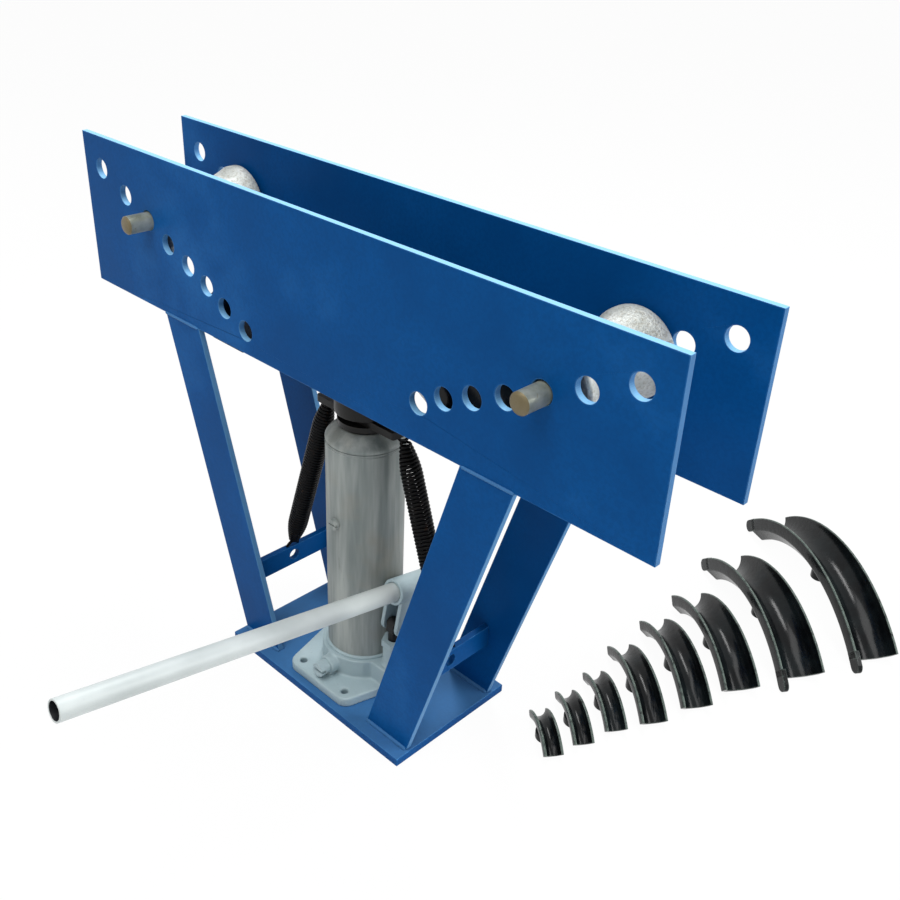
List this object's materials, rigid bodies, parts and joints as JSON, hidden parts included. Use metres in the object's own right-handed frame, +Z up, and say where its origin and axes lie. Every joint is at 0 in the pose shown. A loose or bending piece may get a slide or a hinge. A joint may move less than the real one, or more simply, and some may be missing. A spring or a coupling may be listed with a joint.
{
  "type": "pipe bender",
  "caption": "Upright bench pipe bender: bottle jack with spring return, pinned rollers between long blue side plates, a mounted die and a row of loose dies.",
  "frame": {"origin": "middle of the base plate's underside, on the floor", "axes": "+X along the side plates towards the pump's side, +Y across them away from the handle, +Z up"},
  "size_m": [0.8526, 1.0463, 0.565],
  "materials": {
    "blue_enamel": "gloss enamel",
    "silver_paint": "satin",
    "bare_steel": "machined",
    "grey_paint": "satin",
    "pale_grey_paint": "satin",
    "dark_steel": "satin",
    "spring_steel": "blackened",
    "black_enamel": "gloss",
    "seal_rubber": "matte"
  },
  "bodies": {
    "frame": {"base_plate": "blue_enamel", "near_side_plate": "blue_enamel", "far_side_plate": "blue_enamel", "near_left_leg": "blue_enamel", "near_right_leg": "blue_enamel", "far_left_leg": "blue_enamel", "far_right_leg": "blue_enamel", "left_brace": "blue_enamel", "right_brace": "blue_enamel", "jack_base": "pale_grey_paint", "reservoir_tube": "grey_paint", "gland_cap": "grey_paint", "wiper_seal": "seal_rubber", "pressure_cylinder": "bare_steel", "delivery_ball": "bare_steel", "suction_ball": "bare_steel", "pump_cylinder": "pale_grey_paint", "fulcrum_bracket": "pale_grey_paint", "fulcrum_pin": "dark_steel", "left_return_spring": "spring_steel", "right_return_spring": "spring_steel"},
    "ram": {"ram_rod": "bare_steel", "piston_seal": "seal_rubber", "spring_crossbar": "dark_steel", "ram_head": "dark_steel"},
    "bending_die": {"mounted_die": "black_enamel"},
    "lever": {"handle_socket": "pale_grey_paint"},
    "handle": {"handle_tube": "pale_grey_paint"},
    "pump_plunger": {"plunger": "bare_steel", "plunger_pin": "dark_steel"},
    "valve": {"release_valve": "pale_grey_paint"},
    "filler": {"filler_plug": "grey_paint"},
    "left_roller_body": {"left_roller": "silver_paint"},
    "left_pin_body": {"left_roller_pin": "bare_steel"},
    "right_roller_body": {"right_roller": "silver_paint"},
    "right_pin_body": {"right_roller_pin": "bare_steel"},
    "die_one": {"loose_die_one": "black_enamel"},
    "die_two": {"loose_die_two": "black_enamel"},
    "die_three": {"loose_die_three": "black_enamel"},
    "die_four": {"loose_die_four": "black_enamel"},
    "die_five": {"loose_die_five": "black_enamel"},
    "die_six": {"loose_die_six": "black_enamel"},
    "die_seven": {"loose_die_seven": "black_enamel"},
    "die_eight": {"loose_die_eight": "black_enamel"}
  },
  "joints": [
    {"name": "ram_lift", "type": "slide", "parent": "frame", "child": "ram", "axis": [0, 0, 1], "range_m": [0, 0.2], "stiffness_N_per_m": 300, "springref_m": -0.2, "deforming": ["left_return_spring", "right_return_spring"]},
    {"name": "die_lift_off", "type": "slide", "parent": "ram", "child": "bending_die", "axis": [0, 0, 1], "range_m": [0, 0.12]},
    {"name": "lever_swing", "type": "hinge", "parent": "frame", "child": "lever", "pos_m": [0.06, 0.0267, 0.11184], "axis": [1, 0, 0], "range_deg": [-30, 0]},
    {"name": "handle_pull_out", "type": "slide", "parent": "lever", "child": "handle", "axis": [0, -0.9803, 0.1977], "range_m": [0, 0.06]},
    {"name": "plunger_stroke", "type": "slide", "parent": "frame", "child": "pump_plunger", "axis": [0, 0, 1], "range_m": [0, 0.01967]},
    {"name": "valve_turn", "type": "hinge", "parent": "frame", "child": "valve", "pos_m": [0, -0.06, 0.034], "axis": [0, -1, 0], "range_deg": [0, 360]},
    {"name": "filler_plug_pull", "type": "slide", "parent": "frame", "child": "filler", "axis": [0, -1, 0], "range_m": [0, 0.02]},
    {"name": "left_roller_turn", "type": "hinge", "parent": "frame", "child": "left_roller_body", "pos_m": [-0.278, 0, 0.49028], "axis": [0, 1, 0], "continuous": true},
    {"name": "left_pin_pull_out", "type": "slide", "parent": "frame", "child": "left_pin_body", "axis": [0, -1, 0], "range_m": [0, 0.18]},
    {"name": "right_roller_turn", "type": "hinge", "parent": "frame", "child": "right_roller_body", "pos_m": [0.278, 0, 0.49028], "axis": [0, 1, 0], "continuous": true},
    {"name": "right_pin_pull_out", "type": "slide", "parent": "frame", "child": "right_pin_body", "axis": [0, -1, 0], "range_m": [0, 0.18]},
    {"name": "die_one_lift", "type": "slide", "parent": "frame", "child": "die_one", "axis": [0, 0, 1], "range_m": [0, 0.12]},
    {"name": "die_two_lift", "type": "slide", "parent": "frame", "child": "die_two", "axis": [0, 0, 1], "range_m": [0, 0.12]},
    {"name": "die_three_lift", "type": "slide", "parent": "frame", "child": "die_three", "axis": [0, 0, 1], "range_m": [0, 0.12]},
    {"name": "die_four_lift", "type": "slide", "parent": "frame", "child": "die_four", "axis": [0, 0, 1], "range_m": [0, 0.12]},
    {"name": "die_five_lift", "type": "slide", "parent": "frame", "child": "die_five", "axis": [0, 0, 1], "range_m": [0, 0.12]},
    {"name": "die_six_lift", "type": "slide", "parent": "frame", "child": "die_six", "axis": [0, 0, 1], "range_m": [0, 0.12]},
    {"name": "die_seven_lift", "type": "slide", "parent": "frame", "child": "die_seven", "axis": [0, 0, 1], "range_m": [0, 0.12]},
    {"name": "die_eight_lift", "type": "slide", "parent": "frame", "child": "die_eight", "axis": [0, 0, 1], "range_m": [0, 0.12]}
  ],
  "couplings": [
    {"joint": "plunger_stroke", "follows": "lever_swing", "m_per_rad": -0.037567}
  ]
}
